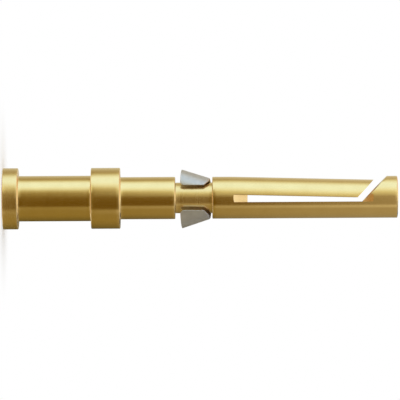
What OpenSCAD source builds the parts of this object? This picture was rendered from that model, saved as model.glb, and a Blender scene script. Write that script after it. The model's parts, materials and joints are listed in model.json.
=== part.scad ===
// Crimp socket contact for a round pin of 1.6 mm.
// A turned, gold-plated body is crimped on a stranded wire at one end and takes the pin at the other.
// A split clip of spring sheet, sprung into a groove, holds the contact in its insulator.
// The contact stands on its wire end, with its axis on Z and the socket mouth at the top.
// The spring tongue lies on the -X side, and the long slot and the clip's gap look along Y.

/* [Crimp end] */
// Diameter of the flange round the wire entry
flange_d = 3.8; // [3.4:0.05:4.2]
// Length of the flange along the axis
flange_len = 0.94; // [0.6:0.01:1.5]
// Outside diameter of the crimp barrel
barrel_d = 2.82; // [2.6:0.01:3]
// Length of the crimp barrel between flange and collar
barrel_len = 4.53; // [3.5:0.01:6]
// Diameter of the bore for the stripped wire
wire_bore_d = 1.75; // [1.2:0.05:2.1]
// Depth of the wire bore at its full diameter
wire_bore_depth = 8; // [6.5:0.1:9]
// Width of the chamfer that leads the strands in
wire_lead_in = 0.2; // [0.1:0.05:0.3]

/* [Collar and neck] */
// Diameter of the collar that stops the contact in the insulator
collar_d = 3.78; // [3.4:0.01:4.2]
// Length of the collar along the axis
collar_len = 1.8; // [1.2:0.1:2.5]
// Diameter of the neck between collar and groove
neck_d = 2.62; // [2.4:0.01:2.8]
// Length of the neck along the axis
neck_len = 3.42; // [2.6:0.01:5]
// Diameter of the groove that holds the clip
groove_d = 1.9; // [1.6:0.05:2.1]
// Width of the groove along the axis
groove_len = 2.3; // [2.1:0.05:3]

/* [Socket] */
// Outside diameter of the socket tube
socket_d = 2.6; // [2.4:0.05:2.7]
// Length of the socket tube along the axis
socket_len = 11.48; // [10.5:0.01:13]
// Diameter of the bore that grips the pin
pin_bore_d = 1.65; // [1.55:0.05:1.75]
// Depth of the pin bore from the mouth, at its full diameter
pin_bore_depth = 9.3; // [8.6:0.05:10]
// Extra diameter of the closed entry over the pin bore
entry_extra = 0.05; // [0.02:0.01:0.1]
// Width of the chamfer that leads the pin in
pin_lead_in = 0.2; // [0.1:0.05:0.25]

/* [Spring tongue] */
// Width of the long slot on each side of the tongue
slot_w = 0.46; // [0.35:0.01:0.55]
// Distance of the slot's middle from the axis, away from the tongue
slot_offset = 0.05; // [0:0.01:0.08]
// Distance from the mouth to the end of the slot in the outer skin
slot_to_mouth = 1.52; // [1.2:0.01:1.7]
// Radius of the saw that runs out at the slot's ends
saw_r = 5.5; // [5:0.5:7.5]
// Depth of the saw cut below the outer skin
saw_depth = 1.1; // [1:0.02:1.14]
// Angle between the slanting cut at the tongue's tip and the axis
tip_cut_angle = 46.5; // [40:0.5:55]
// Width of the slanting cut
tip_cut_w = 0.45; // [0.35:0.01:0.6]
// Distance from the mouth to the foot of the slanting cut
tip_cut_to_mouth = 2.13; // [1.95:0.01:2.4]
// How far the tongue's tip is pressed in towards the pin
tongue_drop = 0.23; // [0.1:0.01:0.28]

/* [Retention clip] */
// Thickness of the clip's sheet
clip_t = 0.18; // [0.15:0.01:0.2]
// Length of the clip along the axis
clip_len = 1.74; // [1.5:0.01:1.9]
// Angle by which each wing of the clip flares from the axis
clip_angle = 18; // [12:0.5:20]
// Width of the gap through which the clip snaps on
clip_gap = 1.54; // [1.2:0.02:1.7]
// Clearance between the clip's back and the groove
clip_clearance = 0.03; // [0.03:0.01:0.06]
// How far the loose clip sits off the axis, away from the tongue
clip_lean = 0.05; // [0:0.01:0.06]
// Angle by which the loose clip is turned about the axis, towards the tongue
clip_turn = 4; // [0:1:90]
// Angle by which the loose clip is tipped, with its gap towards the wire end
clip_tip = 6; // [0:0.5:6]
// Gap along the axis between the clip's small end and the socket's shoulder
clip_end_gap = 0.15; // [0.14:0.01:0.2]
// Size of the cut-off corners at the clip's small end
clip_corner = 0.28; // [0.15:0.01:0.45]
// Radius of the rounded corners at the clip's large end
clip_round = 0.25; // [0.08:0.01:0.3]

/* [Edges] */
// Size of the broken edges on the turned shoulders
edge = 0.05; // [0.03:0.01:0.12]
// Radius left by the tool in the inner corners of the shoulders
root_r = 0.06; // [0.04:0.01:0.15]
// Included angle of the drill point at the bottom of the wire bore
drill_angle = 118; // [90:1:140]

/* [Hidden] */

// Facets in a full circle
round_fn = 96;
$fn = round_fn;

// How far a cut runs past what it cuts
past = 1;
// How far the slot has broken into the bore before the tongue's root
slot_overrun = 0.03;
// How far the wider entry reaches below the foot of the slanting cut
entry_overlap = 0.1;
// Facets in a full turn of the tongue's gentle bend
bend_fn = 720;

flange_r = flange_d / 2;
barrel_r = barrel_d / 2;
wire_r = wire_bore_d / 2;
collar_r = collar_d / 2;
neck_r = neck_d / 2;
groove_r = groove_d / 2;
socket_r = socket_d / 2;
pin_r = pin_bore_d / 2;
entry_r = pin_r + entry_extra / 2;

// Heights of the shoulders above the wire end
z_flange = flange_len;
z_barrel = z_flange + barrel_len;
z_collar = z_barrel + collar_len;
z_neck = z_collar + neck_len;
z_groove = z_neck + groove_len;
z_mouth = z_groove + socket_len;

// The drill's point in the wire bore, and the flat bottom of the pin bore, where the tongue is rooted
wire_point = wire_bore_depth + wire_r / tan(drill_angle / 2);
z_root = z_mouth - pin_bore_depth;

// The slot's walls, on the tongue and on the fixed half
slot_near = slot_offset - slot_w / 2;
slot_far = slot_offset + slot_w / 2;

// The slanting cut: its face on the entry ring starts from the slot's far wall
z_foot = z_mouth - tip_cut_to_mouth;
z_entry = z_foot - entry_overlap;
tip_cut_along = tip_cut_w / sin(tip_cut_angle);
function ring_face_z(x) = z_foot + (slot_far - x) / tan(tip_cut_angle);
function tongue_tip_z(x) = ring_face_z(x) - tip_cut_along;

// Half the length of a saw cut whose deepest point lies this far below a surface
function half_chord(depth) = sqrt(2 * saw_r * depth - depth * depth);

// The slot starts so far below the tongue's root that it is through the wall there
wall_at_slot = socket_r - sqrt(pin_r * pin_r - slot_far * slot_far);
run_out = half_chord(saw_depth) - half_chord(saw_depth - wall_at_slot);
slot_low = z_root - run_out - slot_overrun;
slot_high = z_mouth - slot_to_mouth;
saw_low = slot_low + half_chord(saw_depth);
saw_high = slot_high - half_chord(saw_depth);
saw_y = socket_r - saw_depth + saw_r;

// The tongue is bent on an arc that leaves the tube without a kink and drops its tip by the stated amount
tongue_len = tongue_tip_z(tongue_drop - socket_r) - z_root;
bend_r = (tongue_len * tongue_len + tongue_drop * tongue_drop) / (2 * tongue_drop);
bend_angle = asin((tongue_len + past) / bend_r);
outside_x = socket_r + past;

// The clip: its radius inside, the heights of its ends, and how far it reaches from the axis
clip_r = groove_r + clip_clearance;
clip_top_z = z_groove - clip_end_gap;
clip_foot_z = clip_top_z - clip_len;
clip_reach = (clip_r + clip_t) / cos(clip_angle) + groove_len * tan(clip_angle) + past;

// A turned step with both of its outer edges broken
function land(r, z0, z1) = [
    [r - edge, z0],
    [r, z0 + edge],
    [r, z1 - edge],
    [r - edge, z1]
];

// Outline of the turned body in half section, from the flange round to the wire bore
turned_outline = concat(
    land(flange_r, 0, z_flange),
    [[barrel_r, z_flange], [barrel_r, z_barrel]],
    land(collar_r, z_barrel, z_collar),
    [[neck_r, z_collar], [neck_r, z_neck - edge], [neck_r - edge, z_neck]],
    [[groove_r, z_neck], [groove_r, z_groove]],
    land(socket_r, z_groove, z_mouth),
    [[entry_r + pin_lead_in, z_mouth], [entry_r, z_mouth - pin_lead_in]],
    [[entry_r, z_entry], [pin_r, z_entry], [pin_r, z_root], [0, z_root]],
    [[0, wire_point], [wire_r, wire_bore_depth]],
    [[wire_r, wire_lead_in], [wire_r + wire_lead_in, 0]]
);

// The fillet in an inner corner, which fills upwards or downwards along the axis
module root_fillet(r, z, up) {
    translate([r, z])
        mirror([0, up ? 0 : 1])
            difference() {
                square(root_r);
                translate([root_r, root_r])
                    circle(root_r);
            }
}

// The body as it leaves the lathe, drilled from both ends
module turned_blank() {
    rotate_extrude() {
        polygon(turned_outline);
        root_fillet(barrel_r, z_flange, true);
        root_fillet(barrel_r, z_barrel, false);
        root_fillet(neck_r, z_collar, true);
    }
}

// A prism across the contact whose outline is given in X and Z
module across(outline) {
    rotate([90, 0, 0])
        linear_extrude(2 * outside_x, center = true)
            polygon(outline);
}

// One pass of the slitting saw, from the side that the sign gives
module saw_pass(side) {
    for (z = [saw_low, saw_high])
        translate([slot_near, side * saw_y, z])
            rotate([0, 90, 0])
                cylinder(r = saw_r, h = slot_w);
    translate([slot_near, side * saw_y - saw_r, saw_low])
        cube([slot_w, 2 * saw_r, saw_high - saw_low]);
}

// The window that the tongue and its slanting cut leave in the straight tube
module tongue_window() {
    across([
        [slot_far, z_root],
        [slot_far, z_foot],
        [-outside_x, ring_face_z(-outside_x)],
        [-outside_x, z_root]
    ]);
}

// The half ring that the tongue has in section, with the bend's centre at the origin
module tongue_section() {
    intersection() {
        translate([bend_r, 0])
            difference() {
                circle(socket_r, $fn = round_fn);
                circle(pin_r, $fn = round_fn);
            }
        translate([bend_r - slot_near, -outside_x])
            square([outside_x, 2 * outside_x]);
    }
}

// The spring tongue: the half ring swept along its bend, and cut off aslant at the tip
module tongue() {
    intersection() {
        translate([bend_r, 0, z_root])
            rotate([90, 0, 180])
                rotate_extrude(angle = bend_angle, $fn = bend_fn)
                    tongue_section();
        across([
            [slot_far, z_root],
            [slot_far, tongue_tip_z(slot_far)],
            [-outside_x, tongue_tip_z(-outside_x)],
            [-outside_x, z_root]
        ]);
    }
}

// The gold-plated contact: crimp barrel, collar, neck, groove and socket in one turned piece
module contact_body() {
    color([0.83, 0.67, 0.33]) {
        difference() {
            turned_blank();
            saw_pass(-1);
            saw_pass(1);
            tongue_window();
        }
        tongue();
    }
}

// The gap in the clip, with cut-off corners at the small end and round ones at the large end
module clip_gap_outline() {
    half = clip_gap / 2;
    flare = half + clip_corner + past;
    polygon([
        [half, clip_foot_z - past],
        [half, clip_top_z - clip_corner],
        [flare, clip_top_z + past],
        [-flare, clip_top_z + past],
        [-half, clip_top_z - clip_corner],
        [-half, clip_foot_z - past]
    ]);
    for (side = [0, 1])
        mirror([side, 0])
            translate([half, clip_foot_z])
                difference() {
                    translate([-clip_round, -past])
                        square([2 * clip_round, past + clip_round]);
                    translate([clip_round, clip_round])
                        circle(clip_round);
                }
}

// Half of the clip in section across its wing: a half round at the side, and the flat back
module clip_half_section() {
    intersection() {
        difference() {
            circle(clip_r + clip_t);
            circle(clip_r);
        }
        translate([0, -clip_reach])
            square([clip_reach, 2 * clip_reach]);
    }
    translate([-clip_reach, clip_r])
        square([clip_reach, clip_t]);
}

// Half of the clip: the section drawn along the flared wing, and cut off square to the axis at both ends
module clip_half() {
    intersection() {
        translate([0, 0, z_groove])
            rotate([0, -clip_angle, 0])
                linear_extrude(2 * clip_reach, center = true)
                    clip_half_section();
        translate([0, -clip_reach, clip_foot_z])
            cube([clip_reach, 2 * clip_reach, clip_len]);
    }
}

// The spring-steel clip: a strip bent round the groove, whose wings flare towards the wire end
module retention_clip() {
    color([0.72, 0.72, 0.7])
        translate([clip_lean, 0, clip_top_z])
            rotate([clip_tip, 0, -clip_turn])
                translate([0, 0, -clip_top_z])
                    difference() {
                        for (side = [0, 1])
                            mirror([side, 0, 0])
                                clip_half();
                        rotate([90, 0, 0])
                            linear_extrude(clip_reach)
                                clip_gap_outline();
                    }
}

contact_body();
retention_clip();
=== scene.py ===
# %% [markdown]
# # A crimp socket contact
# This lesson dresses a small turned contact, 24 mm long, that takes a wire at one end and a pin at the
# other. The CAD model comes in first, as a fixed frame in metres, and all that is made here goes
# where it says. Two pieces are built again with finer meshes, the gold-plated body and the spring clip.
# Each of them stands for its CAD node.

# %% Load the frame
import bpy
import bmesh
import json
import math
from mathutils import Matrix, Vector

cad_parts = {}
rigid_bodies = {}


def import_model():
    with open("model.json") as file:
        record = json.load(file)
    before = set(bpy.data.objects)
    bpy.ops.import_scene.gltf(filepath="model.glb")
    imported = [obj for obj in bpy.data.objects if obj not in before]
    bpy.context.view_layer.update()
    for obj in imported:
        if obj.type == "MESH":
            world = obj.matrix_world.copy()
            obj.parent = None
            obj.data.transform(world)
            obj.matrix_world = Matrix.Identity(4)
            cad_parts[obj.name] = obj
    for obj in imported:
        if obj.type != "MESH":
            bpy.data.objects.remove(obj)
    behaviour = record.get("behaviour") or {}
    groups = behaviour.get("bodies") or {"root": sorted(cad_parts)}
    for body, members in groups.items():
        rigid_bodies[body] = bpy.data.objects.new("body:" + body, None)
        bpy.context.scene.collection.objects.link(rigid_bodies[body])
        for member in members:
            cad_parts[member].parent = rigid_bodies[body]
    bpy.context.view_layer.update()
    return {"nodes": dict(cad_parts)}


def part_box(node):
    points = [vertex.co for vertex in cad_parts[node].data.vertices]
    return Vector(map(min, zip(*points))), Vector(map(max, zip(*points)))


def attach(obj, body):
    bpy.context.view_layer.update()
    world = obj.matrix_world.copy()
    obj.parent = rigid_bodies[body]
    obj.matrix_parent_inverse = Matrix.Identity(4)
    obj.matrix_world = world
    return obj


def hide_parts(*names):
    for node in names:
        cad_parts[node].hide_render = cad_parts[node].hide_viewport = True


MM = 0.001
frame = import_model()
body_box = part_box("contact_body")
print("CAD nodes:", sorted(frame["nodes"]), "height in mm:", round(body_box[1][2] / MM, 2))

# %% [markdown]
# ## The camera
# The contact stands on its wire end, but it is pictured lying across the frame with the socket to the
# right. It could be laid down, but then it would leave the CAD model's frame. So the camera is rolled by
# a quarter turn instead and looks along +Y: picture right is +Z, and picture up is -X. A long lens from
# 220 mm keeps the outline almost square-on, with only a slight bulge at the flange's rim. The remaining
# small roll lets the axis climb by a third of a degree to the right.

# %% Camera
picture_px = 400
px_per_mm = 16.1
sensor_mm = 36
view_distance = 220 * MM
middle_height = 12.225 * MM
middle_side = 0.14 * MM
axis_climb = math.radians(0.315)
nearest, farthest = 0.01, 10


def add_object(name, data):
    """Puts a mesh, a camera or a lamp into the scene."""
    obj = bpy.data.objects.new(name, data)
    bpy.context.collection.objects.link(obj)
    return obj


lens_data = bpy.data.cameras.new("photo_camera")
lens_data.sensor_width = sensor_mm
lens_data.lens = sensor_mm * (view_distance / MM) / (picture_px / px_per_mm)
lens_data.clip_start, lens_data.clip_end = nearest, farthest
camera = add_object("photo_camera", lens_data)

c, s = math.cos(axis_climb), math.sin(axis_climb)
right, up, back = Vector((s, 0, c)), Vector((-c, 0, s)), Vector((0, -1, 0))
turn = Matrix((right, up, back)).transposed().to_4x4()
place = Vector((middle_side, -view_distance, middle_height))
camera.matrix_world = Matrix.Translation(place) @ turn
bpy.context.scene.camera = camera
bpy.context.scene.view_settings.view_transform = "Standard"
print("lens in mm:", round(lens_data.lens, 1))

# %% [markdown]
# ## The white surround
# The picture has a clean white ground. A bright lamp on a backdrop could give it, but would wash out the
# metal. So the world itself is white wherever the camera or the metal looks at it. For the light that
# falls on the floor it is a little weaker, which leaves room for a soft lamp. Every finish here is a
# small net of nodes, so a helper adds a node and wires its inputs in one line.

# %% World
floor_light = 0.86
pure_white = (1, 1, 1, 1)


def add_node(tree, kind, *first, **named):
    """Adds a shader node. Plain values fill its inputs in order, and a name with a capital is an input too.
    Any other name is a setting of the node. An input takes a value, or a link from another node's output."""
    node = tree.nodes.new("ShaderNode" + kind)
    for name in [name for name in named if name.islower()]:
        setattr(node, name, named.pop(name))
    wanted = list(enumerate(first)) + [(name.replace("_", " "), value) for name, value in named.items()]
    for where, value in wanted:
        socket = node.inputs[where]
        if isinstance(value, bpy.types.NodeSocket):
            tree.links.new(value, socket)
        else:
            socket.default_value = value
    return node


world = bpy.data.worlds.new("white_surround")
world.use_nodes = True
bpy.context.scene.world = world
tree = world.node_tree
tree.nodes.clear()
ray = add_node(tree, "LightPath").outputs
seen = add_node(tree, "Math", ray["Is Camera Ray"], ray["Is Glossy Ray"], operation="MAXIMUM")
seen = add_node(tree, "Math", seen.outputs[0], ray["Is Transmission Ray"], operation="MAXIMUM")
level = add_node(tree, "MapRange", seen.outputs[0], To_Min=floor_light, To_Max=1.0)
sky = add_node(tree, "Background", pure_white, level.outputs["Result"])
add_node(tree, "OutputWorld", sky.outputs[0])
print("world nodes:", len(tree.nodes), "light on the floor:", floor_light)

# %% [markdown]
# ## The floor
# The contact stands on a pale, matt table. A plain white floor would show its edge and a grey tint in the
# picture. This one keeps the contact's soft shadow close by, and melts into a plain white glow further
# out. Reflections pass through it, because some of the cards of the next steps go on below it.

# %% Floor
floor_reach, floor_sides = 300 * MM, 128
shadow_keeps, shadow_ends = 2 * MM, 7 * MM
pale_grey = (0.97, 0.97, 0.97, 1)


def add_mesh(name, bm):
    """Turns a finished bmesh into a mesh."""
    mesh = bpy.data.meshes.new(name)
    bm.to_mesh(mesh)
    bm.free()
    return mesh


def new_material(name):
    """An empty node material and its tree."""
    mat = bpy.data.materials.new(name)
    mat.use_nodes = True
    mat.node_tree.nodes.clear()
    return mat, mat.node_tree


bm = bmesh.new()
bmesh.ops.create_circle(bm, cap_ends=True, segments=floor_sides, radius=floor_reach)
floor = add_object("floor", add_mesh("floor", bm))
floor.visible_glossy = False

pale, tree = new_material("pale_floor")
spot = add_node(tree, "TexCoord")
far = add_node(tree, "VectorMath", spot.outputs["Object"], operation="LENGTH")
fade = add_node(tree, "MapRange", far.outputs["Value"], From_Min=shadow_keeps, From_Max=shadow_ends,
                interpolation_type="SMOOTHSTEP")
matt = add_node(tree, "BsdfDiffuse", pale_grey)
white = add_node(tree, "Emission", pure_white)
blend = add_node(tree, "MixShader", fade.outputs["Result"], matt.outputs[0], white.outputs[0])
add_node(tree, "OutputMaterial", blend.outputs[0])
floor.data.materials.append(pale)
print("floor radius in mm:", round(floor_reach / MM))

# %% [markdown]
# ## What the metal sees
# Polished metal has hardly a colour of its own: it shows what stands round it. In a studio that is
# arranged with cards, such as a bright soft box above and a brown card round the lens. A card here could
# be a lit board, but then it would also light the floor and throw a shadow. So it is a plain glow that
# only reflections see, and it fades out across the card and up it, where its stops say so.

# %% Card finish
hidden_from = ("camera", "diffuse", "transmission", "volume_scatter", "shadow")


def glossy_only(card):
    """Hides a card from everything but reflections."""
    for kind in hidden_from:
        setattr(card, "visible_" + kind, False)


def share_ramp(tree, where, stops):
    """A ramp through (place, share) stops, from 0 for a clear card to 1 for a full one."""
    ramp = add_node(tree, "ValToRGB", where)
    marks = ramp.color_ramp.elements
    marks[0].position, marks[1].position = stops[0][0], stops[-1][0]
    marks[0].color, marks[1].color = [(stop[1],) * 3 + (1,) for stop in (stops[0], stops[-1])]
    for at, part in stops[1:-1]:
        marks.new(at).color = (part, part, part, 1)
    return ramp.outputs["Color"]


def card_material(name, colour, across, up):
    """A plain glow that fades out where the stops say so, across the card and up it."""
    mat, tree = new_material(name)
    spot = add_node(tree, "UVMap", uv_map="card")
    split = add_node(tree, "SeparateXYZ", spot.outputs["UV"])
    parts = [share_ramp(tree, split.outputs[axis], stops) for axis, stops in (("X", across), ("Y", up))]
    cover = add_node(tree, "Math", *parts, operation="MULTIPLY")
    clear = add_node(tree, "BsdfTransparent")
    glow = add_node(tree, "Emission", (*colour, 1))
    blend = add_node(tree, "MixShader", cover.outputs[0], clear.outputs[0], glow.outputs[0])
    add_node(tree, "OutputMaterial", blend.outputs[0])
    return mat


print("cards are hidden from:", hidden_from)

# %% [markdown]
# A turned wall squeezes all its surroundings into one narrow picture, so flat boards would leave gaps
# between them. Each card is a strip bent round the contact's axis instead, far out, where it fills a low
# belt of the reflections. The strip is a grid in mesh code, because its edges may lean: the soft box is
# wider at its top than at its foot. Some strips go on below the belt as a skirt, because a viewer from
# above sees lower surroundings in the walls.

# %% Strips
belt_span, skirt_foot = (-32 * MM, 56 * MM), -85 * MM
belt_fade = ((0, 1), (0.88, 1), (1, 0))
strip_columns, strip_rows = 48, 8


def strip_mesh(name, radius, stops, span):
    """A grid bent round the axis, between the stops. Its UV map runs along the strip and up it."""
    last = len(stops) - 1
    columns = last * strip_columns
    bm = bmesh.new()
    uv = bm.loops.layers.uv.new("card")
    grid = []
    for i in range(columns + 1):
        gap = min(i // strip_columns, last - 1)
        t = i / strip_columns - gap
        foot, top = [stops[gap][end] + (stops[gap + 1][end] - stops[gap][end]) * t for end in (0, 1)]
        line = []
        for j in range(strip_rows + 1):
            a = math.radians(foot + (top - foot) * j / strip_rows)
            z = span[0] + (span[1] - span[0]) * j / strip_rows
            line.append(bm.verts.new((-radius * math.sin(a), -radius * math.cos(a), z)))
        grid.append(line)
    for i in range(columns):
        for j in range(strip_rows):
            face = bm.faces.new((grid[i][j], grid[i + 1][j], grid[i + 1][j + 1], grid[i][j + 1]))
            for loop, u, v in zip(face.loops, (i, i + 1, i + 1, i), (j, j, j + 1, j + 1)):
                loop[uv].uv = (u / columns, v / strip_rows)
    return add_mesh(name, bm)


def belt_card(name, radius, colour, stops, up=belt_fade, span=belt_span):
    """A strip round the axis. A stop is (angle, share), or (angle at the foot, angle at the top, share).
    Angles count from the viewer, positive towards the tongue. Up gives (place, share) from foot to top."""
    stops = [(stop[0], stop[-2], stop[-1]) for stop in stops]
    across = [(i / (len(stops) - 1), stop[-1]) for i, stop in enumerate(stops)]
    card = add_object(name, strip_mesh(name, radius, stops, span))
    card.data.materials.append(card_material(name, colour, across, up))
    glossy_only(card)
    return card


def skirted_card(name, radius, colour, stops, up=belt_fade):
    """A belt card that goes on below the belt as a skirt, which fades out towards its foot."""
    foot = [(stop[0], stop[-1]) for stop in stops]
    skirt_fade = ((0, 0), (1, up[0][1]))
    belt_card(name + "_skirt", radius, colour, foot, up=skirt_fade, span=(skirt_foot, belt_span[0]))
    return belt_card(name, radius, colour, stops, up=up)


print("belt in mm:", [round(z / MM) for z in belt_span], "skirts down to:", round(skirt_foot / MM))

# %% [markdown]
# The cards stand inside one another, and an inner one covers those outside it. The outermost is tan, goes
# all round and gives the gold its ground tone. Behind the contact a dark card stands on the side away
# from the tongue, and a pale one on the tongue's side, for the two edges of every wall. The wire end
# mirrors the lower part of a strip and the socket its upper part. So a thin veil that grows upwards makes
# the socket paler than the barrel.

# %% Cards all round and behind
all_round = ((-180, 1), (180, 1))
ground = [
    skirted_card("tan_card", 124 * MM, (0.278, 0.212, 0.056), all_round),
    skirted_card(
        "low_back_card", 122 * MM, (0.10, 0.085, 0.03),
        ((-180, 1), (-150, 0.8), (-135, 0.55), (-122, 0.4), (-110, 0.2), (-92, 0)),
        up=((0, 1), (0.45, 1), (0.6, 0.7), (0.88, 0.6), (1, 0))),
    skirted_card("high_back_card", 120 * MM, (0.62, 0.62, 0.50), ((97, 0), (150, 1), (180, 1))),
    belt_card(
        "veil", 119 * MM, (0.80, 0.80, 0.75), all_round,
        up=((0, 0.05), (0.22, 0.05), (0.3, 0), (0.38, 0), (0.46, 0.04), (0.53, 0.1), (0.6, 0.16),
            (0.7, 0.235), (0.88, 0.235), (1, 0))),
]
print("cards all round and behind:", [card.name for card in ground])

# %% [markdown]
# The viewer's side of a wall mirrors what stands round the lens. There a brown card gives the dark stripe
# along the barrel, which dies away on the socket. Below it shines the pale edge of a table, as a thin
# bright line.

# %% Cards round the lens
front = [
    skirted_card(
        "lens_card", 117.5 * MM, (0.140, 0.082, 0.004),
        ((-46, 0), (-38, 1), (-18, 1), (0, 0.8), (32, 0)),
        up=((0, 0.5), (0.22, 0.5), (0.31, 1), (0.55, 1), (0.6, 0.5), (0.64, 0.3), (0.7, 0.12),
            (0.88, 0.1), (1, 0))),
    belt_card(
        "table_edge", 116 * MM, (0.70, 0.66, 0.50),
        ((-64, 0), (-54, 1), (-46, 1), (-42, 0)),
        up=((0, 0), (0.03, 0.5), (0.17, 0.5), (0.24, 0), (0.38, 0), (0.44, 0.25), (0.53, 0.2), (0.58, 0.3),
            (0.65, 0.5), (0.7, 0.6), (0.88, 0.6), (1, 0))),
]
print("cards round the lens:", [card.name for card in front])

# %% [markdown]
# The soft box hangs on the tongue's side and gives the broad highlight. Gold tints what it mirrors, so
# the core of the soft box is a cool white, which comes out nearly neutral, and a warmer rim lets the
# highlight run out softly. Two weaker glows stand beside it, nearer the lens: one brightens the groove
# and the root of the socket, and one, low down, the flange.

# %% Soft box and glows
warm_white, cool_white = (0.95, 1.0, 0.70), (0.96, 1.24, 1.45)
lights = [
    belt_card(
        "soft_glow", 115 * MM, warm_white, ((3, 0), (18, 1), (40, 1), (56, 0)),
        up=((0, 0), (0.36, 0), (0.44, 0.22), (0.53, 0.4), (0.6, 0.12), (0.7, 0.14), (0.88, 0.14), (1, 0))),
    skirted_card(
        "low_glow", 114.5 * MM, warm_white, ((20, 0), (34, 1), (52, 1), (62, 0)),
        up=((0, 1), (0.21, 1), (0.27, 0), (1, 0))),
    skirted_card(
        "soft_box_rim", 114 * MM, warm_white, ((53, -16, 0), (70, 38, 1), (84, 84, 1), (108, 128, 0))),
    skirted_card(
        "soft_box", 112 * MM, cool_white, ((50, 18, 0), (68, 56, 1), (82, 82, 1), (98, 116, 0))),
]
print("soft box and glows:", [card.name for card in lights])

# %% [markdown]
# The clip's wings flare towards the wire end, so their outsides look up, past the belt. Two flags hang
# there for them: a dark, cool one on the side away from the tongue, and a warm one on the tongue's side.
# Without the flags both wings would mirror the plain white and lose their shape.

# %% Flags for the clip
flag_span = (46 * MM, 130 * MM)
flag_fade = ((0, 0), (0.15, 1), (0.8, 1), (1, 0))
flags = [
    belt_card("cool_flag", 110 * MM, (0.05, 0.06, 0.10), ((-180, 1), (-40, 1), (-10, 0)),
              up=flag_fade, span=flag_span),
    belt_card("warm_flag", 110 * MM, (0.75, 0.52, 0.40), ((20, 0), (50, 1), (150, 1), (180, 0)),
              up=flag_fade, span=flag_span),
]
print("flags:", [card.name for card in flags])

# %% [markdown]
# One more card lies far below, like a warm table top. A plain disc is enough, because only the faces that
# look towards the wire end mirror it. It makes them darker than those that look towards the mouth, which
# see the white above.

# %% Table card
table_radius, table_depth, table_sides = 85 * MM, 90 * MM, 96
everywhere = ((0, 1), (1, 1))
bm = bmesh.new()
bmesh.ops.create_circle(bm, cap_ends=True, segments=table_sides, radius=table_radius)
bmesh.ops.translate(bm, vec=(0, 0, -table_depth), verts=bm.verts)
table = add_object("table_card", add_mesh("table_card", bm))
table.data.materials.append(card_material("table_card", (0.45, 0.29, 0.14), everywhere, everywhere))
glossy_only(table)
print("table card at mm:", round(-table_depth / MM))

# %% [markdown]
# ## The lamp
# A wide lamp high on the tongue's side lights the matt floor and gives the contact its soft shadow. A
# small lamp would throw a hard one. The metal doesn't see the lamp, because the soft box stands for its
# reflection.

# %% Soft lamp
lamp_width, lamp_watts = 120 * MM, 0.080
lamp_place = (-20 * MM, -10 * MM, 230 * MM)
lamp_data = bpy.data.lights.new("soft_lamp", "AREA")
lamp_data.shape = "DISK"
lamp_data.size = lamp_width
lamp_data.energy = lamp_watts
lamp = add_object("soft_lamp", lamp_data)
lamp.location = lamp_place
lamp.rotation_euler = (-lamp.location).to_track_quat("-Z", "Y").to_euler()
lamp.visible_glossy = False
print("lamp at mm:", [round(v / MM) for v in lamp.location])

# %% [markdown]
# ## The turned blank
# The real body is turned from a bar and drilled from both ends, so its skin is one outline spun round the
# axis. The outline lists every corner as a radius, a height and a corner radius, all in millimetres.
# Outer edges are broken by a small radius, inner corners keep the tool's nose radius. A Bevel modifier
# could round them too, but here each corner gets the radius that its tool would leave.

# %% Outline of the body
flange_r, barrel_r, collar_r, neck_r = 1.9, 1.41, 1.89, 1.31
groove_r, socket_r, pin_r, entry_r, wire_r = 0.95, 1.3, 0.825, 0.85, 0.875
z_flange, z_barrel, z_collar, z_neck, z_groove, z_mouth = 0.94, 5.47, 7.27, 10.69, 12.99, 24.47
z_root, z_entry, wire_depth, wire_point, lead_in = 15.17, 22.24, 8.0, 8.526, 0.2
broken, nose, crisp = 0.05, 0.06, 0.03
arc_steps = 5


def rounded(outline):
    """Turns (radius, height, corner radius) triples into an outline whose corners are short arcs."""
    points = []
    for i, (r, z, soft) in enumerate(outline):
        here = Vector((r, z))
        if soft == 0 or i in (0, len(outline) - 1):
            points.append(here)
            continue
        to_a = (Vector(outline[i - 1][:2]) - here).normalized()
        to_b = (Vector(outline[i + 1][:2]) - here).normalized()
        half = to_a.angle(to_b) / 2
        centre = here + (to_a + to_b).normalized() * soft / math.sin(half)
        first = here + to_a * soft / math.tan(half) - centre
        last = here + to_b * soft / math.tan(half) - centre
        sweep = first.angle_signed(last)
        for j in range(arc_steps + 1):
            a = -sweep * j / arc_steps
            points.append(centre + Matrix.Rotation(a, 2) @ first)
    return points


turned = rounded([
    (0, wire_point, 0), (wire_r, wire_depth, 0), (wire_r, lead_in, crisp), (wire_r + lead_in, 0, crisp),
    (flange_r, 0, broken), (flange_r, z_flange, broken),
    (barrel_r, z_flange, nose), (barrel_r, z_barrel, nose),
    (collar_r, z_barrel, broken), (collar_r, z_collar, broken),
    (neck_r, z_collar, nose), (neck_r, z_neck, broken),
    (groove_r, z_neck, crisp), (groove_r, z_groove, crisp),
    (socket_r, z_groove, broken), (socket_r, z_mouth, broken),
    (entry_r + lead_in, z_mouth, crisp), (entry_r, z_mouth - lead_in, crisp), (entry_r, z_entry, 0),
    (pin_r, z_entry, 0), (pin_r, z_root, 0), (0, z_root, 0),
])
print("outline points:", len(turned), "widest:", round(max(p[0] for p in turned), 3))

# %% [markdown]
# The lathe spins the bar, and the mesh is spun from the outline in the same way. The Screw modifier could
# do that. A few lines of mesh code give the same rings, and full control of their heights: the straight
# walls get rings at round heights, so that the saw cuts and the bend find vertices there.

# %% Spin the outline
ring_step, ring_margin = 0.25, 0.06
around = 192
tiny = 1e-6


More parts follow.
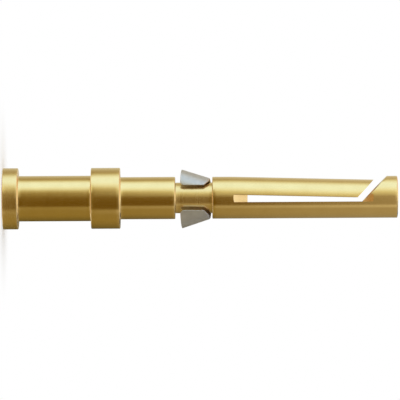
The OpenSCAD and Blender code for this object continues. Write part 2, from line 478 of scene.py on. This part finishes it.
def with_rings(points):
    """Adds rings along the straight walls, a little away from their ends."""
    full = [points[0]]
    for a, b in zip(points, points[1:]):
        if abs(a[0] - b[0]) < tiny:
            low, high = sorted((a[1], b[1]))
            first = math.ceil((low + ring_margin) / ring_step)
            last = math.floor((high - ring_margin) / ring_step)
            between = [Vector((a[0], ring_step * i)) for i in range(first, last + 1)]
            full += between if b[1] > a[1] else between[::-1]
        full.append(b)
    return full


def solid_mesh(name, bm):
    """Turns a closed bmesh into a mesh whose faces all look outwards."""
    bmesh.ops.recalc_face_normals(bm, faces=bm.faces)
    return add_mesh(name, bm)


def spun(name, points):
    """Spins an outline round Z. A point on the axis becomes one shared tip."""
    bm = bmesh.new()
    rings = []
    for r, z in points:
        count = around if r > tiny else 1
        turns = [2 * math.pi * i / around for i in range(count)]
        rings.append([bm.verts.new((r * math.cos(t), r * math.sin(t), z)) for t in turns])
    for a, b in zip(rings, rings[1:]):
        for i in range(around):
            j = (i + 1) % around
            corners = [a[i % len(a)], a[j % len(a)], b[j % len(b)], b[i % len(b)]]
            bm.faces.new(list(dict.fromkeys(corners)))
    return add_object(name, solid_mesh(name, bm))


contact = spun("gold_contact", with_rings(turned))
print("blank:", len(contact.data.vertices), "vertices")

# %% [markdown]
# ## Sawing the socket
# A slitting saw runs into the tube from both sides and leaves a long slot whose ends rise on the saw's
# own curve. The slot could be left out of the outline's spin, but its rising ends are hard to place by
# hand. So the saw itself is modelled, as a bar whose inner face follows the saw's path. It is built in
# short lengths, so that the slot's walls come out as narrow strips, which can be bent afterwards. Its
# joints lie halfway between the blank's rings, to keep points apart.

# %% Saw body
slot_near, slot_far, saw_r, saw_depth = -0.18, 0.28, 5.5, 1.1
slot_low, slot_high = 14.290, 22.95
saw_half = math.sqrt(2 * saw_r * saw_depth - saw_depth ** 2)
saw_reach = 3.0


def saw_floor(z):
    """How far from the axis the bottom of the slot lies at a height."""
    into = max(slot_low + saw_half - z, z - (slot_high - saw_half), 0)
    return socket_r - saw_depth + saw_r - math.sqrt(saw_r ** 2 - into ** 2)


def saw_body(side):
    """A bar along the contact, as wide as the slot, whose inner face follows the saw's path."""
    bm = bmesh.new()
    first = math.floor(slot_low / ring_step) - 1
    last = math.ceil(slot_high / ring_step)
    rows = []
    for i in range(first, last + 1):
        z = ring_step * (i + 0.5)
        y_in, y_out = side * saw_floor(z), side * saw_reach
        rows.append([bm.verts.new((x, y, z)) for x, y in (
            (slot_near, y_in), (slot_far, y_in), (slot_far, y_out), (slot_near, y_out))])
    for a, b in zip(rows, rows[1:]):
        for i in range(4):
            bm.faces.new((a[i], a[(i + 1) % 4], b[(i + 1) % 4], b[i]))
    bm.faces.new(rows[0])
    bm.faces.new(rows[-1])
    return solid_mesh("saw", bm)


print("run-in of the saw in mm:", round(saw_half, 2))

# %% [markdown]
# A Boolean modifier then does what the saw does. Left on the piece, it would be worked out again at every
# change, so its result is applied at once and the saw is thrown away. The exact solver is slower than the
# fast one, but the safer choice where the saw's floor leaves the tube's skin at a shallow angle.

# %% Saw the slot
def cut_away(obj, cutter_mesh):
    """Takes the cutter out of the object, as a cut in metal, and applies the result."""
    cutter = add_object("cutter", cutter_mesh)
    step = obj.modifiers.new("cut", "BOOLEAN")
    step.operation, step.solver, step.object = "DIFFERENCE", "EXACT", cutter
    depsgraph = bpy.context.evaluated_depsgraph_get()
    mesh = bpy.data.meshes.new_from_object(obj.evaluated_get(depsgraph))
    obj.modifiers.remove(step)
    old, obj.data = obj.data, mesh
    bpy.data.meshes.remove(old)
    bpy.data.objects.remove(cutter)
    bpy.data.meshes.remove(cutter_mesh)


for side in (-1, 1):
    cut_away(contact, saw_body(side))
print("slot from", slot_low, "to", slot_high, "- vertices:", len(contact.data.vertices))

# %% [markdown]
# ## The slanting cut
# A second, slanting cut frees the tip of the tongue and leaves a closed ring at the mouth. The maker saws
# it while the tube is straight, and then presses the tongue inwards, so that it grips the pin. The lesson
# keeps that order, because a straight tube is easier to cut. To know where to saw, the tip's final place
# is first moved back by what the bend will add. The bend is a short soft stretch at the root, straight
# from there on.

# %% Cut the tip free
cut_angle, cut_w, z_foot, tongue_drop = math.radians(46.5), 0.45, 22.34, 0.23
bend_from, bend_soft = 13.87, 0.6
tip_reach_x, tip_reach_y = 1.7, 2.2


def ring_face(x):
    """Height of the cut's face on the closed ring."""
    return z_foot + (slot_far - x) / math.tan(cut_angle)


def tip_face(x):
    """Height of the cut's face on the tongue, after the bend."""
    return ring_face(x) - cut_w / math.sin(cut_angle)


lean = tongue_drop / (tip_face(tongue_drop - socket_r) - bend_from - bend_soft / 2)


def sunk(z):
    """How far the tongue moves towards the pin at a height."""
    run = max(0, z - bend_from)
    return lean * (run ** 2 / (2 * bend_soft) if run < bend_soft else run - bend_soft / 2)


low_tip, high_tip = [(x - sunk(tip_face(x)), tip_face(x)) for x in (slot_far, -tip_reach_x)]
window = [
    (slot_far, z_foot), (-tip_reach_x, ring_face(-tip_reach_x)),
    high_tip, low_tip, (slot_far, low_tip[1]),
]
bm = bmesh.new()
ends = [[bm.verts.new((x, y, z)) for x, z in window] for y in (-tip_reach_y, tip_reach_y)]
for end in ends:
    bm.faces.new(end)
for i in range(len(window)):
    j = (i + 1) % len(window)
    bm.faces.new((ends[0][i], ends[0][j], ends[1][j], ends[1][i]))
cut_away(contact, solid_mesh("tip_saw", bm))
print("lean of the tongue in degrees:", round(math.degrees(math.atan(lean)), 2))

# %% [markdown]
# Tumbling and plating round every sawn edge a little, and that thin rim catches the light. A bevel on the
# sharp outer edges of the cuts does the same. A Bevel modifier would also take the turned edges, which
# are round already, so the mesh code picks the sawn ones. It comes before the bend, while all walls are
# flat.

# %% Break the sawn edges
sawn_break, sawn_from = 0.012, math.radians(40)
skin_depth, slot_margin = 0.01, 0.2
weld = 0.0005


def sawn(edge):
    """Tells whether an edge is an outer edge of the slot or of the slanting cut."""
    on_skin = all(math.hypot(v.co.x, v.co.y) > socket_r - skin_depth for v in edge.verts)
    in_slot = all(v.co.z > slot_low - slot_margin for v in edge.verts)
    return on_skin and in_slot and edge.is_convex and edge.calc_face_angle() > sawn_from


bm = bmesh.new()
bm.from_mesh(contact.data)
bmesh.ops.remove_doubles(bm, verts=bm.verts, dist=weld)
chosen = [e for e in bm.edges if len(e.link_faces) == 2 and sawn(e)]
bmesh.ops.bevel(bm, geom=chosen, offset=sawn_break, segments=2, profile=0.5,
                affect="EDGES", clamp_overlap=True)
bm.to_mesh(contact.data)
bm.free()
print("sawn edges broken:", len(chosen))

# %% [markdown]
# Now the tongue is pressed in. A lattice or a bone could bend it, but the bend is known exactly, so each
# vertex of the tongue moves by what the bend gives at its height. At the root the tongue grows out of the
# tube. There the move fades out smoothly towards the fixed half.

# %% Press the tongue in
def bend_share(x):
    """How much of the bend a point takes: all of it on the tongue, none on the fixed half."""
    t = min(1, max(0, (slot_far - x) / (slot_far - slot_near)))
    return t * t * (3 - 2 * t)


moved = 0
for v in contact.data.vertices:
    x, z = v.co.x, v.co.z
    cut_middle = (ring_face(x) + tip_face(x)) / 2
    if x < slot_far and bend_from < z < cut_middle:
        v.co.x += bend_share(x) * sunk(z)
        moved += 1
print("tongue vertices pressed in:", moved)

# %% [markdown]
# ## Scale and seat
# The mesh is scaled from millimetres to metres. Faces are shaded smooth except across real edges, and the
# Weighted Normal modifier lets the long walls set the shading, so that the small radii don't bend it. The
# piece then rides on the contact's one body and stands for its CAD node, which is hidden.

# %% Seat the body
sliver, sharp_from, wall_weight = 0.0004, math.radians(24), 60


def seat(obj, node):
    """Scales a piece to metres, shades it, and lets it stand for its CAD node."""
    bm = bmesh.new()
    bm.from_mesh(obj.data)
    bmesh.ops.remove_doubles(bm, verts=bm.verts, dist=weld)
    bmesh.ops.dissolve_degenerate(bm, edges=bm.edges, dist=sliver)
    for f in bm.faces:
        f.smooth = True
    for e in bm.edges:
        e.smooth = len(e.link_faces) == 2 and e.calc_face_angle() < sharp_from
    open_edges = sum(len(e.link_faces) != 2 for e in bm.edges)
    bmesh.ops.scale(bm, vec=(MM, MM, MM), verts=bm.verts)
    bm.to_mesh(obj.data)
    bm.free()
    shade = obj.modifiers.new("weighted", "WEIGHTED_NORMAL")
    shade.keep_sharp = True
    shade.weight = wall_weight
    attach(obj, "root")
    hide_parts(node)
    return open_edges


print("open edges on the body:", seat(contact, "contact_body"))

# %% [markdown]
# ## The retention clip
# The clip is a strip of spring sheet, bent round the groove and open on one side. Its back is flat, and
# its two wings flare towards the wire end, where they latch in the insulator. Each wing is part of a
# leaning tube. A Solidify modifier could give a bent face its thickness, but it leaves square rims. Sheet
# is easy to imitate with a grid: rows lie at heights, columns run round from one edge of the gap to the
# other. The outline in the flat decides where each row begins: round corners below, cut-off corners
# above.

# %% Shape of the sheet
clip_t, clip_len, clip_flare, clip_gap = 0.18, 1.74, math.radians(18), 1.54
clip_corner, clip_round, end_gap, clearance = 0.28, 0.25, 0.15, 0.03
clip_r, clip_top = groove_r + clearance, z_groove - end_gap
clip_foot = clip_top - clip_len
round_steps, side_steps, corner_steps = 6, 5, 3
wing_steps, half_back_steps = 40, 3


def sheet_edge(inset):
    """The edge of the gap, moved into the sheet by the inset: (distance from the middle, height) pairs
    from foot to top."""
    half, small = clip_gap / 2, clip_round - inset
    edge = []
    for i in range(round_steps + 1):
        a = math.radians(90 - 90 * i / round_steps)
        edge.append((half + clip_round - small * math.cos(a), clip_foot + clip_round - small * math.sin(a)))
    slip = inset * (math.sqrt(2) - 1)
    cut_low = (half + inset, clip_top - clip_corner - slip)
    cut_high = (half + clip_corner + slip, clip_top - inset)
    for a, b, steps in ((edge[-1], cut_low, side_steps), (cut_low, cut_high, corner_steps)):
        edge += [tuple(Vector(a).lerp(Vector(b), (i + 1) / steps)) for i in range(steps)]
    return edge


def sheet_row(gap_half, z, depth):
    """Points round the clip at a height, on the inside of the sheet or at a depth in it."""
    r, shift = clip_r + depth, (z_groove - z) * math.tan(clip_flare)
    first = -math.acos((gap_half - shift) * math.cos(clip_flare) / r)
    turns = [first + (math.pi / 2 - first) * i / wing_steps for i in range(wing_steps + 1)]
    wing = [(shift + r / math.cos(clip_flare) * math.cos(a), r * math.sin(a)) for a in turns]
    back = [(shift * (1 - i / half_back_steps), r) for i in range(1, 2 * half_back_steps)]
    return [(x, y, z) for x, y in wing + back] + [(-x, y, z) for x, y in reversed(wing)]


gap_edge = sheet_edge(0)
print("rows:", len(gap_edge), "columns:", len(sheet_row(*gap_edge[-1], 0)))

# %% [markdown]
# Stamped sheet has rounded rims, and on the small clip these are what catches the light. So the inside
# and the outside skin both stop a little short of the outline, and a ladder of loops leads round the rim
# from one to the other. The clip is loose in its groove: it sits off the axis, a little turned and
# tipped, as in the CAD model.

# %% Bend the clip
rim, rim_steps = 0.045, 4
clip_lean, clip_turn, clip_tip = 0.05, math.radians(4), math.radians(6)
loose = (Matrix.Translation((clip_lean, 0, clip_top)) @ Matrix.Rotation(-clip_turn, 4, "Z")
         @ Matrix.Rotation(clip_tip, 4, "X") @ Matrix.Translation((0, 0, -clip_top)))


def sheet_grid(inset, depth):
    """All points of the sheet at a depth, row by row."""
    return [[loose @ Vector(p) for p in sheet_row(gap, z, depth)] for gap, z in sheet_edge(inset)]


def round_trip(grid):
    """The points along the outline of a grid, once round."""
    left, right = [row[0] for row in grid], [row[-1] for row in grid]
    return grid[0] + right[1:] + grid[-1][-2::-1] + left[-2:0:-1]


bm = bmesh.new()
quarter = [math.radians(90 * i / rim_steps) for i in range(rim_steps + 1)]
rounds = [(rim * (1 - math.sin(a)), rim * (1 - math.cos(a))) for a in quarter]
stages = rounds + [(inset, clip_t - depth) for inset, depth in reversed(rounds)]
skins = [[[bm.verts.new(p) for p in row] for row in sheet_grid(*stages[i])] for i in (0, -1)]
loops = [[bm.verts.new(p) for p in round_trip(sheet_grid(*stage))] for stage in stages[1:-1]]
loops = [round_trip(skins[0])] + loops + [round_trip(skins[1])]
for grid in skins:
    for a, b in zip(grid, grid[1:]):
        for i in range(len(a) - 1):
            bm.faces.new((a[i], a[i + 1], b[i + 1], b[i]))
for a, b in zip(loops, loops[1:]):
    for i in range(len(a)):
        bm.faces.new((a[i - 1], a[i], b[i], b[i - 1]))
clip = add_object("spring_clip", solid_mesh("spring_clip", bm))
print("clip:", len(clip.data.vertices), "vertices, open edges:", seat(clip, "retention_clip"))

# %% [markdown]
# ## Finishes that run round the axis
# Turned metal carries the lathe's rings, and rolled sheet a grain that runs round the clip once it is
# bent. A stretched noise could give either, but only on walls that face one way. Radius and height are
# the same all round the axis, so a noise that reads only those two draws rings on walls and end faces
# alike. Both metals then share the same skin: a tone that varies a little, and the rings as a very fine
# bump.

# %% Helpers for metal
bump_height = 0.00001
noise_low, noise_high = 0.3, 0.7


def ring_place(tree):
    """The spot in the contact's own frame, and the same as a vector of (radius, height, 0)."""
    spot = add_node(tree, "TexCoord").outputs["Object"]
    xyz = add_node(tree, "SeparateXYZ", spot).outputs
    flat = add_node(tree, "CombineXYZ", X=xyz["X"], Y=xyz["Y"])
    radius = add_node(tree, "VectorMath", flat.outputs[0], operation="LENGTH")
    rings = add_node(tree, "CombineXYZ", X=radius.outputs["Value"], Y=xyz["Z"])
    return spot, rings.outputs[0]


def two_tones(tree, cloud, tones):
    """A colour that drifts from one tone to the other with a noise."""
    ramp = add_node(tree, "ValToRGB", cloud)
    for mark, at, tone in zip(ramp.color_ramp.elements, (noise_low, noise_high), tones):
        mark.position = at
        mark.color = (*tone, 1)
    return ramp.outputs["Color"]


def metal_skin(tree, colour, rough, rings, strength):
    """Bare metal with that colour and roughness, and with rings as bump."""
    bump = add_node(tree, "Bump", Height=rings, Strength=strength, Distance=bump_height)
    skin = add_node(tree, "BsdfPrincipled", Metallic=1.0, Base_Color=colour, Roughness=rough,
                    Normal=bump.outputs["Normal"])
    add_node(tree, "OutputMaterial", skin.outputs[0])


print("bump height in micrometres:", round(bump_height / MM * 1000))

# %% [markdown]
# ## Gold plating
# Gold over a turned surface is a satin mirror, because the plating follows the lathe's rings. The rings
# go into the bump and, more faintly, into the roughness, and a slow noise varies the tone of the gold.
# The flange and the groove were cut with plainer tools, so they are a little coarser than the long walls.
# Two ramps give that, one over the height and one over the radius, which keeps it all in one material.

# %% Gold
lathe_scale, drift_scale = 26000.0, 900.0
gold_tones = ((0.895, 0.650, 0.300), (0.945, 0.700, 0.335))
gold_smooth, gold_rough, gold_coarser = 0.13, 0.20, 0.08
gold_bump = 0.12

gold, tree = new_material("gold_plating")
spot, rings = ring_place(tree)
lathe = add_node(tree, "TexNoise", Vector=rings, Scale=lathe_scale, Detail=3.0, Roughness=0.6).outputs["Fac"]
drift = add_node(tree, "TexNoise", Vector=spot, Scale=drift_scale, Detail=4.0, Roughness=0.55).outputs["Fac"]
satin = add_node(tree, "MapRange", lathe, From_Min=noise_low, From_Max=noise_high,
                 To_Min=gold_smooth, To_Max=gold_rough)
rough = satin.outputs["Result"]
spread = add_node(tree, "SeparateXYZ", rings).outputs
for part, coarse_at, fine_at in (("Y", z_flange, z_flange + nose), ("X", groove_r, neck_r - broken)):
    coarse = add_node(tree, "MapRange", spread[part], From_Min=coarse_at * MM, From_Max=fine_at * MM,
                      To_Min=gold_coarser, To_Max=0.0)
    rough = add_node(tree, "Math", rough, coarse.outputs["Result"], operation="ADD").outputs[0]
metal_skin(tree, two_tones(tree, drift, gold_tones), rough, lathe, gold_bump)
contact.data.materials.clear()
contact.data.materials.append(gold)
print("gold nodes:", len(tree.nodes))

# %% [markdown]
# ## Spring steel
# The clip is rolled stainless sheet with a satin finish. The rolls leave a faint grain along the strip. A
# coarse roughness blurs the cards into soft shades, as on the real sheet, and the grain varies it a
# little. The ring noise gives that grain, and a second noise keeps the grey from being even.

# %% Steel
grain_scale, cloud_scale = 40000.0, 2200.0
steel_tones = ((0.600, 0.585, 0.575), (0.680, 0.665, 0.655))
steel_smooth, steel_rough = 0.40, 0.52
steel_bump = 0.1

steel, tree = new_material("spring_steel")
spot, rings = ring_place(tree)
grain = add_node(tree, "TexNoise", Vector=rings, Scale=grain_scale, Detail=2.0, Roughness=0.5).outputs["Fac"]
cloud = add_node(tree, "TexNoise", Vector=spot, Scale=cloud_scale, Detail=3.0, Roughness=0.5).outputs["Fac"]
satin = add_node(tree, "MapRange", grain, To_Min=steel_smooth, To_Max=steel_rough)
metal_skin(tree, two_tones(tree, cloud, steel_tones), satin.outputs["Result"], grain, steel_bump)
clip.data.materials.append(steel)
print("steel nodes:", len(tree.nodes))
